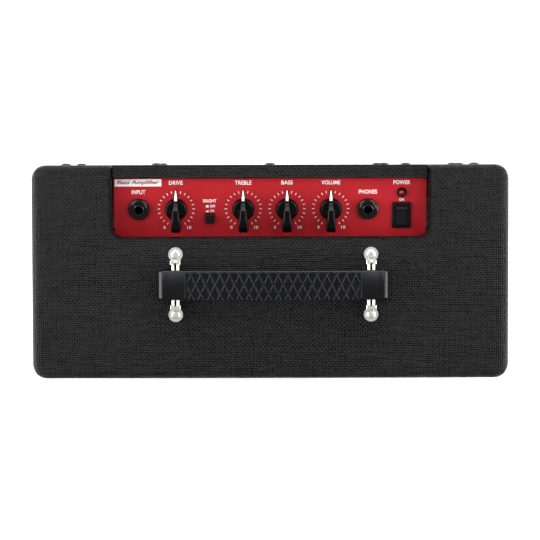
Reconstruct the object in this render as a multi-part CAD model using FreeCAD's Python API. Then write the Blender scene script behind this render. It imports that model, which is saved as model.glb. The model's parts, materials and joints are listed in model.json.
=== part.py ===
"""Small bass guitar practice combo: a vinyl covered box with a tilted control panel in its top.

Millimetres, +Z up, front facing -Y. The origin is the middle of the footprint, on the floor.
"""

import FreeCAD, Part
import math
import os

os.makedirs("parts", exist_ok=True)

V = FreeCAD.Vector

# Cabinet
cabinet_width = 380.0
cabinet_depth = 170.0
foot_height = 10.0
cabinet_top = 240.0
side_board = 18.0
flat_board = 15.0
plan_corner_radius = 11.5
side_edge_radius = 12.0
rear_edge_radius = 6.0
batten_width = 12.0
batten_depth = 15.0

# Recess in the top and the rear boards
recess_half_width = 125.5
recess_front_y = 27.8
recess_corner_radius = 8.0
recess_rim_radius = 2.8
rear_board = 10.0
rear_board_inset = 0.5
rear_board_gap = 0.5
rear_split_z = 136.0
rear_tab_top = 238.0

# Baffle, grille and speakers
baffle_front_y = -71.0
baffle_board = 12.0
grille_frame_depth = 9.2
cloth_thickness = 0.8
speaker_x = 86.0
speaker_z = 122.0

# Control panel: a point on its top face, its slope and its sheet
panel_y = 49.8
panel_z = 223.8
panel_tilt = 14.0
panel_half_width = 124.5
panel_front_v = -27.0
panel_rear_v = 25.0
panel_sheet = 1.2
chassis_sheet = 1.2
chassis_bottom_z = 170.0

# What stands on the panel: x along it, v up its slope
input_jack_x = -104.8
phones_jack_x = 78.0
knob_places = {"drive": -75.0, "treble": -21.4, "bass": 13.5, "volume": 48.4}
bright_place = (-48.2, -7.4)
led_place = (104.9, 13.4)
rocker_place = (104.9, -5.2)
jack_bore_radius = 3.2
shaft_radius = 3.0
shaft_clearance = 0.05

# Handle
handle_x = 2.4
handle_y = -9.8
handle_half_length = 91.5
handle_width = 23.6
handle_top_z = 260.0
link_offset = 77.4
bracket_offset = 23.9
link_wire_radius = 1.15
link_bend_radius = 1.95
link_half_length = 18.75
link_height = 3.6

# Screw holes
pilot_radius = 1.8
clearance_radius = 2.0

# Mains inlet, in the lower rear board
inlet_x = 136.5
inlet_z = 100.0
inlet_screw_offset = 20.0

half_width = cabinet_width / 2
half_depth = cabinet_depth / 2
inner_x = half_width - side_board
inner_bottom = foot_height + flat_board
inner_top = cabinet_top - flat_board
rear_board_outer_y = half_depth - rear_board_inset
rear_board_inner_y = rear_board_outer_y - rear_board
baffle_rear_y = baffle_front_y + baffle_board
sin_tilt = math.sin(math.radians(panel_tilt))
cos_tilt = math.cos(math.radians(panel_tilt))
tan_tilt = sin_tilt / cos_tilt
steel_under = -panel_sheet - chassis_sheet
panel_place = FreeCAD.Placement(V(0, panel_y, panel_z), FreeCAD.Rotation(V(1, 0, 0), panel_tilt))


def block(x0, x1, y0, y1, z0, z1):
    """A box between two corners."""
    return Part.makeBox(x1 - x0, y1 - y0, z1 - z0, V(x0, y0, z0))


def rod(radius, start, end):
    """A round bar from one point to another."""
    return Part.makeCylinder(radius, (end - start).Length, start, end - start)


def face_of(points):
    """A flat face with straight edges through the points."""
    return Part.Face(Part.makePolygon(points + [points[0]]))


def prism(points, along):
    """A flat outline pushed along a vector."""
    return face_of(points).extrude(along)


def turned(profile, place, direction):
    """A (radius, height) outline turned about a line from place in the given direction."""
    solid = face_of([V(r, 0, h) for r, h in profile]).revolve(V(0, 0, 0), V(0, 0, 1), 360)
    turn = FreeCAD.Rotation(V(0, 0, 1), direction)
    return solid.transformed(FreeCAD.Placement(place, turn).toMatrix())


def rounded_plate(half_x, half_y, z0, z1, radius):
    """A plate centred on the origin with round corners."""
    plate = block(-half_x, half_x, -half_y, half_y, z0, z1)
    upright = [e for e in plate.Edges if abs(e.BoundBox.ZLength - (z1 - z0)) < 1e-6]
    return plate.makeFillet(radius, upright)


def on_panel(shape):
    """Carries a shape made about a flat panel at z = 0 onto the tilted panel."""
    return shape.transformed(panel_place.toMatrix())


def panel_point(v, height):
    """The (y, z) of a point at v up the slope and height above the panel."""
    return panel_y + v * cos_tilt - height * sin_tilt, panel_z + v * sin_tilt + height * cos_tilt


def joined(solids):
    """One solid from several that touch or overlap, with its flush faces merged where they can be."""
    fused = solids[0].fuse(solids[1:])
    merged = fused.removeSplitter()
    return merged if merged.isValid() else fused


def save(name, *solids):
    """Writes one sub-part; a group of like pieces stays separate solids."""
    shape = solids[0] if len(solids) == 1 else Part.makeCompound(list(solids))
    for solid in solids:
        if not solid.isValid() or len(solid.Solids) != 1:
            print("check", name, solid.isValid(), len(solid.Solids))
    shape.exportStep("parts/" + name + ".step")


def pan_screw(place, direction, length, head_radius=4.0, shank_radius=1.75):
    """A cross-recessed pan head screw; place is under its head, direction points out of the head."""
    head_height = head_radius * 0.55
    rim_height = head_height * 0.4
    shoulder = head_radius * 0.72
    outline = [
        (0, -length),
        (shank_radius * 0.4, -length),
        (shank_radius, -length + 2 * shank_radius),
        (shank_radius, 0),
        (head_radius, 0),
        (head_radius, rim_height),
        (shoulder, head_height * 0.85),
        (0, head_height),
    ]
    screw = turned(outline, V(0, 0, 0), V(0, 0, 1))
    arm = head_radius * 0.55
    slot = head_radius * 0.12
    depth = head_height * 0.5
    cross = block(-arm, arm, -slot, slot, head_height - depth, head_height + 1)
    screw = screw.cut(cross).cut(cross.rotated(V(0, 0, 0), V(0, 0, 1), 90))
    turn = FreeCAD.Rotation(V(0, 0, 1), direction)
    return screw.transformed(FreeCAD.Placement(place, turn).toMatrix())


def cabinet_body():
    """The closed outer form: three rounded sections that cut each other."""
    height = cabinet_top - foot_height
    plan = rounded_plate(half_width, half_depth, foot_height, cabinet_top, plan_corner_radius)
    front = rounded_plate(half_width, height / 2, -half_depth, half_depth, side_edge_radius)
    front = front.rotated(V(0, 0, 0), V(1, 0, 0), 90).translated(V(0, 0, foot_height + height / 2))
    side = rounded_plate(half_depth, height / 2, -half_width, half_width, rear_edge_radius)
    side = side.rotated(V(0, 0, 0), V(1, 0, 0), 90).rotated(V(0, 0, 0), V(0, 0, 1), 90)
    side = side.translated(V(0, 0, foot_height + height / 2))
    return plan.common(front).common(side)


def recess_cutter():
    """What is sawn out of the top board, open to the rear."""
    radius = recess_corner_radius
    length = half_depth - recess_front_y + 2 * radius
    plate = rounded_plate(recess_half_width, length / 2, inner_top - 1, cabinet_top + 1, radius)
    return plate.translated(V(0, recess_front_y + length / 2, 0))


def handle_screw_places():
    """Where the four handle screws stand on the top."""
    return [
        (handle_x + side * link_offset, handle_y + end * bracket_offset)
        for side in (-1, 1)
        for end in (-1, 1)
    ]


def top_board(body):
    board = body.common(block(-inner_x, inner_x, -half_depth, half_depth, inner_top, cabinet_top))
    board = board.cut(recess_cutter())
    rim = [
        e
        for e in board.Edges
        if e.BoundBox.ZMin > cabinet_top - 1e-3
        and e.BoundBox.YMin > recess_front_y - 1e-3
        and abs(e.BoundBox.Center.x) < recess_half_width + 1e-3
        and e.BoundBox.YMin < half_depth - 2 * rear_edge_radius
    ]
    board = board.makeFillet(recess_rim_radius, rim)
    for x, y in handle_screw_places():
        start = V(x, y, cabinet_top - 12.5)
        board = board.cut(rod(pilot_radius, start, V(x, y, cabinet_top + 1)))
    return board


def foot_places():
    inset_x = 40.0
    inset_y = 27.0
    return [
        (x, y)
        for x in (-half_width + inset_x, half_width - inset_x)
        for y in (-half_depth + inset_y, half_depth - inset_y)
    ]


foot_screw_length = 11.0
foot_seat_z = 5.0
transformer_x = 105.0
transformer_y = 36.0
transformer_foot_offset = 30.0
transformer_foot_sheet = 1.5
transformer_screw_length = 11.0


def bottom_board(body):
    board = body.common(
        block(-inner_x, inner_x, -half_depth, half_depth, foot_height, inner_bottom)
    )
    for x, y in foot_places():
        hole_top = foot_seat_z + foot_screw_length + 0.5
        board = board.cut(rod(pilot_radius, V(x, y, foot_height - 1), V(x, y, hole_top)))
    for side in (-1, 1):
        x = transformer_x + side * transformer_foot_offset
        hole_bottom = inner_bottom + transformer_foot_sheet - transformer_screw_length - 0.5
        start = V(x, transformer_y, hole_bottom)
        board = board.cut(rod(pilot_radius, start, V(x, transformer_y, inner_bottom + 1)))
    return board


def side_boards(body):
    left = body.common(
        block(-half_width, -inner_x, -half_depth, half_depth, foot_height, cabinet_top)
    )
    right = body.common(
        block(inner_x, half_width, -half_depth, half_depth, foot_height, cabinet_top)
    )
    return left, right


chassis_block_x = (127.0, 147.0)
chassis_block_y = (32.0, 62.0)
chassis_block_z = 205.0
cross_batten = (113.0, 143.0)
batten_screw_x = 164.5
inner_screw_x = 91.0
long_rear_screw = 22.0
short_rear_screw = 14.0


def rear_screw_places():
    """Each rear screw: x, z and length. The short ones reach only into the chassis."""
    top_row = 216.5
    places = [(x, top_row, short_rear_screw) for x in (-inner_screw_x, 0.0, inner_screw_x)]
    for side in (-1, 1):
        for z in (206.0, 72.0):
            places.append((side * batten_screw_x, z, long_rear_screw))
        places.append((side * inner_screw_x, cross_batten[0] + 8, long_rear_screw))
    places.append((0.0, cross_batten[0] + 8, long_rear_screw))
    places.append((0.0, inner_bottom + 8, long_rear_screw))
    return places


def inlet_screw_places():
    return [
        (inlet_x - inlet_screw_offset, inlet_z, short_rear_screw),
        (inlet_x + inlet_screw_offset, inlet_z, short_rear_screw),
    ]


def cabinet_battens():
    """Softwood strips glued inside the shell, for the rear boards, the baffle and the chassis."""
    rear_y0 = rear_board_inner_y - batten_depth
    front_y1 = baffle_rear_y + batten_width
    strips = []
    for side in (-1, 1):
        x0, x1 = sorted((side * (inner_x - batten_width), side * inner_x))
        strips.append(block(x0, x1, rear_y0, rear_board_inner_y, inner_bottom, inner_top))
        strips.append(block(x0, x1, baffle_rear_y, front_y1, inner_bottom, inner_top))
        x0, x1 = sorted((side * chassis_block_x[0], side * chassis_block_x[1]))
        strips.append(block(x0, x1, *chassis_block_y, chassis_block_z, inner_top))
    across = inner_x - batten_width
    low = (inner_bottom, inner_bottom + batten_depth)
    strips.append(block(-across, across, rear_y0, rear_board_inner_y, *low))
    strips.append(block(-across, across, rear_y0, rear_board_inner_y, *cross_batten))
    low = (inner_bottom, inner_bottom + batten_width)
    strips.append(block(-across, across, baffle_rear_y, front_y1, *low))
    high = (inner_top - batten_width, inner_top)
    strips.append(block(-across, across, baffle_rear_y, front_y1, *high))
    holes = []
    for x, z, length in rear_screw_places():
        tip = rear_board_outer_y - length - 0.5
        if length == long_rear_screw:
            holes.append(rod(pilot_radius, V(x, tip, z), V(x, rear_board_outer_y, z)))
    for x, y in chassis_screw_places():
        start = V(x, y, chassis_block_z - 1)
        holes.append(rod(pilot_radius, start, V(x, y, chassis_block_z + 12.5)))
    return [strip.cut(holes) for strip in strips]


def rear_holes(board):
    """Clearance holes for every screw that goes through a rear board."""
    for x, z, length in rear_screw_places() + inlet_screw_places():
        start = V(x, rear_board_inner_y - 1, z)
        board = board.cut(rod(clearance_radius, start, V(x, rear_board_outer_y + 1, z)))
    return board


def upper_rear_board():
    edge = inner_x - rear_board_gap
    tab = recess_half_width - 1.0
    shoulder = inner_top - rear_board_gap
    bottom = rear_split_z + rear_board_gap / 2
    outline = [
        (-edge, bottom),
        (edge, bottom),
        (edge, shoulder),
        (tab, shoulder),
        (tab, rear_tab_top),
        (-tab, rear_tab_top),
        (-tab, shoulder),
        (-edge, shoulder),
    ]
    points = [V(x, rear_board_inner_y, z) for x, z in outline]
    return rear_holes(prism(points, V(0, rear_board, 0)))


inlet_opening = (27.4, 20.4)


def lower_rear_board():
    edge = inner_x - rear_board_gap
    top = rear_split_z - rear_board_gap / 2
    bottom = inner_bottom + rear_board_gap
    board = block(-edge, edge, rear_board_inner_y, rear_board_outer_y, bottom, top)
    half_x = inlet_opening[0] / 2
    half_z = inlet_opening[1] / 2
    hole = block(
        inlet_x - half_x,
        inlet_x + half_x,
        rear_board_inner_y - 1,
        rear_board_outer_y + 1,
        inlet_z - half_z,
        inlet_z + half_z,
    )
    return rear_holes(board.cut(hole))


def feet():
    """Moulded rubber feet with a counterbore for their screw."""
    wide = 12.0
    narrow = 10.0
    bore = 5.2
    result = []
    for x, y in foot_places():
        outline = [
            (pilot_radius, foot_height),
            (wide, foot_height),
            (narrow, 1.0),
            (narrow - 1.0, 0),
            (bore, 0),
            (bore, foot_seat_z),
            (pilot_radius, foot_seat_z),
        ]
        result.append(turned(outline, V(x, y, 0), V(0, 0, 1)))
    return result


def foot_screws():
    down = V(0, 0, -1)
    return [pan_screw(V(x, y, foot_seat_z), down, foot_screw_length) for x, y in foot_places()]


def baffle():
    gap = 0.2
    edge = inner_x - gap
    board = block(-edge, edge, baffle_front_y, baffle_rear_y, inner_bottom + gap, inner_top - gap)
    for side in (-1, 1):
        centre = V(side * speaker_x, baffle_front_y - 1, speaker_z)
        board = board.cut(rod(58.5, centre, centre + V(0, baffle_board + 2, 0)))
    for place in speaker_screw_places():
        board = board.cut(rod(pilot_radius, place, place + V(0, baffle_board, 0)))
    return board


grille_edge_gap = 1.0
grille_border = 14.0


def grille_frame():
    front = baffle_front_y - grille_frame_depth
    edge = inner_x - grille_edge_gap
    low = inner_bottom + grille_edge_gap
    high = inner_top - grille_edge_gap
    frame = block(-edge, edge, front, baffle_front_y, low, high)
    half_bar = 5.0
    for x0, x1 in ((-edge + grille_border, -half_bar), (half_bar, edge - grille_border)):
        low_z = low + grille_border
        high_z = high - grille_border
        frame = frame.cut(block(x0, x1, front - 1, baffle_front_y + 1, low_z, high_z))
    return frame


def grille_cloth():
    """Cloth stretched over the face of the frame and turned round its edges."""
    front = baffle_front_y - grille_frame_depth
    turn_back = 6.0
    wrap = 0.6
    edge = inner_x - grille_edge_gap
    low = inner_bottom + grille_edge_gap
    high = inner_top - grille_edge_gap
    face = front - cloth_thickness
    outer = block(-edge - wrap, edge + wrap, face, front + turn_back, low - wrap, high + wrap)
    return outer.cut(block(-edge, edge, front, front + turn_back + 1, low, high))


speaker_flange_radius = 65.0
speaker_flange_front = baffle_front_y - 3.0


def speaker_screw_places():
    """Four screws round each speaker, at the flange's front face."""
    circle = 61.0
    places = []
    for side in (-1, 1):
        for quarter in range(4):
            angle = math.radians(45 + 90 * quarter)
            x = side * speaker_x + circle * math.cos(angle)
            z = speaker_z + circle * math.sin(angle)
            places.append(V(x, baffle_front_y - 1.2, z))
    return places


magnet_front_y = -34.0
pole_radius = 12.6
gap_outer_radius = 14.6
coil_inner_radius = 13.2
coil_outer_radius = 14.0


def speaker_turned(outline, side):
    """A (radius, y) outline turned about a speaker's axis."""
    return turned(outline, V(side * speaker_x, 0, speaker_z), V(0, 1, 0))


def speaker_frame(side):
    """Pressed steel basket with a flange, four legs and a seat for the magnet."""
    sheet = 1.2
    outline = [
        (speaker_flange_radius, baffle_front_y),
        (speaker_flange_radius, baffle_front_y - sheet),
        (56.0, baffle_front_y - sheet),
        (40.0, magnet_front_y - sheet),
        (gap_outer_radius, magnet_front_y - sheet),
        (gap_outer_radius, magnet_front_y),
        (41.0, magnet_front_y),
        (57.0, baffle_front_y),
    ]
    frame = speaker_turned(outline, side)
    centre = V(side * speaker_x, 0, speaker_z)
    for quarter in range(4):
        window = block(43.0, 60.0, -66.0, -41.0, -18.0, 18.0)
        window = window.rotated(V(0, 0, 0), V(0, 1, 0), 90 * quarter)
        frame = frame.cut(window.translated(centre))
    for place in speaker_screw_places():
        frame = frame.cut(rod(clearance_radius, place - V(0, 1, 0), place + V(0, 3, 0)))
    return frame


def speaker_magnet(side):
    """Front plate, ring magnet and back plate with its pole, clamped as one motor."""
    front_plate = 4.0
    magnet = 12.0
    back_plate = 4.0
    y1 = magnet_front_y + front_plate
    y2 = y1 + magnet
    y3 = y2 + back_plate
    outline = [
        (gap_outer_radius, magnet_front_y),
        (33.0, magnet_front_y),
        (33.0, y1),
        (35.0, y1),
        (35.0, y2),
        (33.0, y2),
        (33.0, y3),
        (0, y3),
        (0, magnet_front_y - 0.5),
        (pole_radius, magnet_front_y - 0.5),
        (pole_radius, y2),
        (18.0, y2),
        (18.0, y1),
        (gap_outer_radius, y1),
    ]
    return speaker_turned(outline, side)


def speaker_cone(side):
    """Paper cone and its dust cap."""
    paper = 0.8
    neck = coil_outer_radius + 0.1
    outline = [
        (neck, -48.0),
        (51.0, -70.0),
        (51.0, -70.0 - paper),
        (neck, -48.0 - 1.6 * paper),
    ]
    cone = speaker_turned(outline, side)
    cap = [
        (0, -54.0),
        (6.0, -53.0),
        (11.0, -50.5),
        (coil_inner_radius, -48.2),
        (coil_inner_radius, -47.2),
        (10.6, -49.7),
        (6.0, -52.2),
        (0, -53.2),
    ]
    return cone, speaker_turned(cap, side)


def voice_coil(side):
    """Former with its winding, standing in the magnet's gap."""
    winding = coil_outer_radius
    former = coil_inner_radius + 0.35
    outline = [
        (coil_inner_radius, -48.9),
        (winding, -48.9),
        (winding, -47.0),
        (former, -47.0),
        (former, -35.0),
        (winding, -35.0),
        (winding, -28.0),
        (coil_inner_radius, -28.0),
    ]
    return speaker_turned(outline, side)


def speaker_surround(side):
    """Half-roll edge between the cone and the flange."""
    outline = [
        (51.3, -70.2),
        (51.3, -70.9),
        (52.4, -72.4),
        (54.0, -73.2),
        (55.8, -73.0),
        (57.3, -72.9),
        (57.3, -72.2),
        (56.0, -72.2),
        (54.0, -72.5),
        (52.8, -71.8),
        (52.0, -70.2),
    ]
    return speaker_turned(outline, side)


def speaker_spider(side):
    """Corrugated cloth ring that centres the voice coil."""
    inner = coil_outer_radius + 0.3
    outer = 34.0
    waves = 4
    thickness = 0.6
    level = -41.0
    swing = 1.0
    steps = 2 * waves
    front = []
    for i in range(steps + 1):
        r = inner + (outer - inner) * i / steps
        front.append((r, level + (swing if i % 2 else 0.0)))
    back = [(r, y + thickness) for r, y in reversed(front)]
    wall = [(outer, level), (outer + 2.0, level), (outer + 2.0, magnet_front_y - 1.2)]
    wall = wall + [(outer, magnet_front_y - 1.2), (outer, level + thickness)]
    return speaker_turned(front[:-1] + wall + back[1:], side)


def speaker_screws():
    return [pan_screw(place, V(0, -1, 0), 11.0, 3.5) for place in speaker_screw_places()]


def panel_holes(plate):
    """Everything that comes through the panel and the steel under it."""
    low = steel_under - 1
    for x in knob_places.values():
        plate = plate.cut(rod(3.6, V(x, 0, low), V(x, 0, 1)))
    for x in (input_jack_x, phones_jack_x):
        plate = plate.cut(rod(5.6, V(x, 0, low), V(x, 0, 1)))
    x, v = bright_place
    plate = plate.cut(block(x - 3.8, x + 3.8, v - 3.8, v + 3.8, low, 1))
    x, v = led_place
    plate = plate.cut(rod(3.1, V(x, v, low), V(x, v, 1)))
    x, v = rocker_place
    return plate.cut(block(x - 6.5, x + 6.5, v - 9.6, v + 9.6, low, 1))


def control_panel():
    plate = block(
        -panel_half_width, panel_half_width, panel_front_v, panel_rear_v, -panel_sheet, 0
    )
    return on_panel(panel_holes(plate))


chassis_ear = (124.5, 144.0)
chassis_front_y = panel_point(panel_front_v, -panel_sheet)[0]
chassis_front_z = panel_point(panel_front_v, -panel_sheet)[1]
chassis_rear_y = rear_board_inner_y - 0.2


def chassis_screw_places():
    x = (chassis_block_x[0] + chassis_block_x[1]) / 2
    return [(side * x, y) for side in (-1, 1) for y in (39.0, 55.0)]


def chassis():
    """Folded steel channel, open below, with an ear at each end."""
    rear_z = chassis_front_z + (chassis_rear_y - chassis_front_y) * tan_tilt
    drop = chassis_sheet / cos_tilt
    front_in = chassis_front_y + chassis_sheet
    rear_in = chassis_rear_y - chassis_sheet
    front_in_z = chassis_front_z + chassis_sheet * tan_tilt - drop
    rear_in_z = rear_z - chassis_sheet * tan_tilt - drop
    outer = [
        (chassis_front_y, chassis_bottom_z),
        (chassis_front_y, chassis_front_z),
        (chassis_rear_y, rear_z),
        (chassis_rear_y, chassis_bottom_z),
    ]
    inner = [
        (rear_in, chassis_bottom_z),
        (rear_in, rear_in_z),
        (front_in, front_in_z),
        (front_in, chassis_bottom_z),
    ]
    edge = panel_half_width
    channel = prism([V(-edge, y, z) for y, z in outer + inner], V(2 * edge, 0, 0))
    walls = [channel]
    for side in (-1, 1):
        x0 = -edge if side < 0 else edge - chassis_sheet
        end = prism([V(x0, y, z) for y, z in outer], V(chassis_sheet, 0, 0))
        x0, x1 = sorted((side * (chassis_ear[0] - chassis_sheet), side * chassis_ear[1]))
        ear = block(x0, x1, 34.0, 60.0, chassis_block_z - chassis_sheet, chassis_block_z)
        walls += [end, ear]
    result = joined(walls)
    tools = []
    for x, y in chassis_screw_places():
        low = V(x, y, chassis_block_z - 3)
        tools.append(rod(clearance_radius, low, V(x, y, chassis_block_z + 1)))
    for x, z, length in rear_screw_places():
        if length == short_rear_screw:
            start = V(x, chassis_rear_y - 2, z)
            tools.append(rod(pilot_radius, start, V(x, chassis_rear_y + 1, z)))
    result = result.cut(tools)
    flat = result.transformed(panel_place.inverse().toMatrix())
    return on_panel(panel_holes(flat))


def chassis_screws():
    """Screws through the ears, and those that hold the transformer to the floor."""
    under = chassis_block_z - chassis_sheet
    screws = [pan_screw(V(x, y, under), V(0, 0, -1), 12.0) for x, y in chassis_screw_places()]
    seat = inner_bottom + transformer_foot_sheet
    for side in (-1, 1):
        place = V(transformer_x + side * transformer_foot_offset, transformer_y, seat)
        screws.append(pan_screw(place, V(0, 0, 1), transformer_screw_length))
    return screws


board_top = -12.4
board_sheet = 1.6


def circuit_board():
    return on_panel(block(-94.0, 66.0, -22.0, 15.0, board_top - board_sheet, board_top))


def potentiometer(x):
    """Round can with a threaded bush; the wiper turns in the hollow."""
    can_top = steel_under
    can_bottom = -11.4
    hollow_top = -4.2
    hollow_bottom = -10.2
    bore = shaft_radius + shaft_clearance
    outline = [
        (bore, 3.0),
        (3.5, 3.0),
        (3.5, can_top),
        (8.2, can_top),
        (8.2, can_bottom),
        (0, can_bottom),
        (0, hollow_bottom),
        (7.2, hollow_bottom),
        (7.2, hollow_top),
        (bore, hollow_top),
    ]
    can = turned(outline, V(x, 0, 0), V(0, 0, 1))
    pin_places = [x - 5.0, x, x + 5.0]
    pins = [block(k - 0.5, k + 0.5, -5.5, -4.5, board_top, -10.6) for k in pin_places]
    return on_panel(joined([can] + pins))


def pot_shaft(x):
    """Metal spindle with the wiper disc that keeps it in the can."""
    outline = [
        (0, 13.0),
        (shaft_radius - 0.5, 13.0),
        (shaft_radius, 12.5),
        (shaft_radius, -4.6),
        (6.8, -4.6),
        (6.8, -6.6),
        (2.0, -6.6),
        (2.0, -9.8),
        (0, -9.8),
    ]
    return on_panel(turned(outline, V(x, 0, 0), V(0, 0, 1)))


def pot_nuts():
    nuts = []
    corner = 5.7
    height = 2.2
    for x in knob_places.values():
        turn = [math.radians(60 * k) for k in range(6)]
        points = [V(x + corner * math.cos(a), corner * math.sin(a), 0) for a in turn]
        nut = prism(points, V(0, 0, height))
        nuts.append(on_panel(nut.cut(rod(3.5, V(x, 0, -1), V(x, 0, height + 1)))))
    return nuts


knob_skirt_radius = 8.9
knob_tip = 17.0
knob_tail = -16.0
knob_top = 18.0


def knob(x):
    """Pointer knob: a round skirt under a tall fin that narrows to the tip."""
    base = 0.7
    skirt = turned(
        [(0, base), (knob_skirt_radius, base), (knob_skirt_radius, 3.6), (7.6, 5.4), (0, 5.4)],
        V(x, 0, 0),
        V(0, 0, 1),
    )
    half_widths = [
        (knob_tip, 1.0),
        (11.0, 1.3),
        (0.0, 2.6),
        (-9.0, 3.5),
        (knob_tail + 1, 3.9),
        (knob_tail, 3.2),
    ]
    right = [V(x + w, v, 3.0) for v, w in half_widths]
    left = [V(x - w, v, 3.0) for v, w in reversed(half_widths)]
    plan = prism(right + left, V(0, 0, knob_top))
    side = [
        (knob_tip, 3.9),
        (knob_tip, 6.0),
        (9.0, 11.5),
        (2.0, 16.5),
        (-4.0, knob_top),
        (-11.0, knob_top - 0.8),
        (-15.0, knob_top - 4.0),
        (knob_tail, 11.0),
        (knob_tail, 3.9),
    ]
    fin = plan.common(prism([V(x - 5, v, z) for v, z in side], V(10, 0, 0)))
    hub = rod(6.2, V(x, 0, 4.2), V(x, 0, 13.5))
    hollow = rod(7.4, V(x, 0, 0), V(x, 0, 3.4))
    bore = rod(shaft_radius, V(x, 0, 0), V(x, 0, 13.1))
    return on_panel(skirt.fuse([fin, hub]).cut([hollow, bore]))


jack_top = 5.0
jack_bottom = -27.4


def jack(x):
    """Quarter-inch socket: a plastic body under the steel with a threaded nose through it."""
    body = block(x - 8.5, x + 8.5, -9.0, 9.0, jack_bottom, steel_under)
    nose = rod(5.5, V(x, 0, steel_under - 1), V(x, 0, jack_top))
    bore = rod(jack_bore_radius, V(x, 0, jack_bottom + 1.4), V(x, 0, jack_top + 1))
    lugs = [block(x + k - 1.2, x + k + 1.2, 9.0, 9.6, -26.0, -18.0) for k in (-5.0, 5.0)]
    return on_panel(joined([body, nose] + lugs).cut(bore))


def jack_nuts():
    """Round plastic nuts with a stepped face."""
    nuts = []
    for x in (input_jack_x, phones_jack_x):
        outline = [(5.5, 0), (8.5, 0), (8.5, 3.2), (7.8, 4.0), (6.6, 4.4), (5.5, 4.4)]
        nuts.append(on_panel(turned(outline, V(x, 0, 0), V(0, 0, 1))))
    return nuts


button_travel = 3.0
button_height = 5.0


def bright_switch():
    """Latching push switch soldered to the board."""
    x, v = bright_place
    outer = block(x - 4.8, x + 4.8, v - 4.8, v + 4.8, board_top, -2.8)
    hollow = block(x - 3.8, x + 3.8, v - 3.8, v + 3.8, board_top + 0.5, -2.0)
    return on_panel(outer.cut(hollow))


def bright_button():
    x, v = bright_place
    cap = rounded_plate(3.45, 3.45, -2.0, button_height, 0.5).translated(V(x, v, 0))
    top = [e for e in cap.Edges if e.BoundBox.ZMin > button_height - 1e-3]
    cap = cap.makeFillet(0.4, top)
    return on_panel(joined([cap, rod(1.6, V(x, v, -8.4), V(x, v, -1.5))]))


def power_led():
    x, v = led_place
    lens = rod(2.45, V(x, v, -4.0), V(x, v, 0.4)).fuse(Part.makeSphere(2.45, V(x, v, 0.4)))
    lens = lens.removeSplitter()
    flange = rod(2.9, V(x, v, -5.0), V(x, v, -4.0))
    return on_panel(joined([lens, flange]))


def led_bezel():
    x, v = led_place
    outline = [(2.5, 1.2), (3.4, 1.6), (4.1, 0.8), (4.1, 0), (3.05, 0), (3.05, -3.9), (2.5, -3.9)]
    return on_panel(turned(outline, V(x, v, 0), V(0, 0, 1)))


rocker_pivot_height = 0.2
rocker_radius = 8.0
rocker_half_swing = 12.5


def rocker_housing():
    """Snap-in rocker switch body with a bezel and two blades below."""
    x, v = rocker_place
    bezel = rounded_plate(7.5, 10.5, 0, 2.0, 1.2)
    top = [e for e in bezel.Edges if e.BoundBox.ZMin > 2.0 - 1e-3]
    bezel = bezel.makeFillet(0.8, top)
    body = block(-6.4, 6.4, -9.5, 9.5, -16.0, 0.5)
    blades = [block(-2.4, 2.4, k - 0.4, k + 0.4, -24.0, -15.5) for k in (-5.0, 5.0)]
    housing = joined([bezel, body] + blades)
    housing = housing.cut(block(-4.5, 4.5, -8.35, 8.35, -10.0, 3.0))
    pivot = rod(1.06, V(-5.4, 0, rocker_pivot_height), V(5.4, 0, rocker_pivot_height))
    return on_panel(housing.cut(pivot).translated(V(x, v, 0)))


def power_rocker():
    """Rocker at rest with its front end down, which is off."""
    x, v = rocker_place
    lift = math.radians(25.0)
    tip = V(0, rocker_radius * math.cos(lift), rocker_radius * math.sin(lift))
    far = V(0, -tip.y, tip.z)
    foot = 4.6
    side = math.sqrt(rocker_radius**2 - foot**2)
    low_right = V(0, side, -foot)
    low_left = V(0, -side, -foot)
    edges = [
        Part.LineSegment(far, V(0, 0, 2.0)).toShape(),
        Part.LineSegment(V(0, 0, 2.0), tip).toShape(),
        Part.Arc(tip, V(0, rocker_radius, 0), low_right).toShape(),
        Part.LineSegment(low_right, low_left).toShape(),
        Part.Arc(low_left, V(0, -rocker_radius, 0), far).toShape(),
    ]
    rocker = Part.Face(Part.Wire(edges)).extrude(V(8.6, 0, 0)).translated(V(-4.3, 0, 0))
    rocker = joined([rocker, rod(1.0, V(-5.2, 0, 0), V(5.2, 0, 0))])
    rocker = rocker.rotated(V(0, 0, 0), V(1, 0, 0), rocker_half_swing)
    return on_panel(rocker.translated(V(x, v, rocker_pivot_height)))


def mains_inlet():
    """Three-pin appliance inlet, held behind the lower rear board."""
    flange = block(-23.0, 23.0, rear_board_inner_y - 2.5, rear_board_inner_y, -11.5, 11.5)
    nose_x = inlet_opening[0] / 2 - 0.2
    nose_z = inlet_opening[1] / 2 - 0.2
    nose = block(-nose_x, nose_x, rear_board_inner_y - 1, rear_board_outer_y, -nose_z, nose_z)
    back = block(-13.0, 13.0, rear_board_inner_y - 14.0, rear_board_inner_y - 1, -10.0, 10.0)
    body = joined([flange, nose, back])
    socket_floor = rear_board_outer_y - 17.0
    half_x = 12.2
    half_z = 8.4
    body = body.cut(block(-half_x, half_x, socket_floor, rear_board_outer_y + 1, -half_z, half_z))
    pins = []
    for x, z in ((-7.0, -1.5), (7.0, -1.5), (0.0, 2.5)):
        pins.append(block(x - 1.0, x + 1.0, socket_floor - 1, socket_floor + 9.0, z - 2.0, z + 2.0))
    body = joined([body] + pins)
    for side in (-1, 1):
        start = V(side * inlet_screw_offset, rear_board_inner_y - 3, 0)
        body = body.cut(rod(pilot_radius, start, start + V(0, 4, 0)))
    return body.translated(V(inlet_x, 0, inlet_z))


def rear_board_screws():
    return [
        pan_screw(V(x, rear_board_outer_y, z), V(0, 1, 0), length)
        for x, z, length in rear_screw_places() + inlet_screw_places()
    ]


core_width = 48.0
core_height = 40.0
core_depth = 24.0
window_width = 8.0
window_height = 24.0


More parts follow.
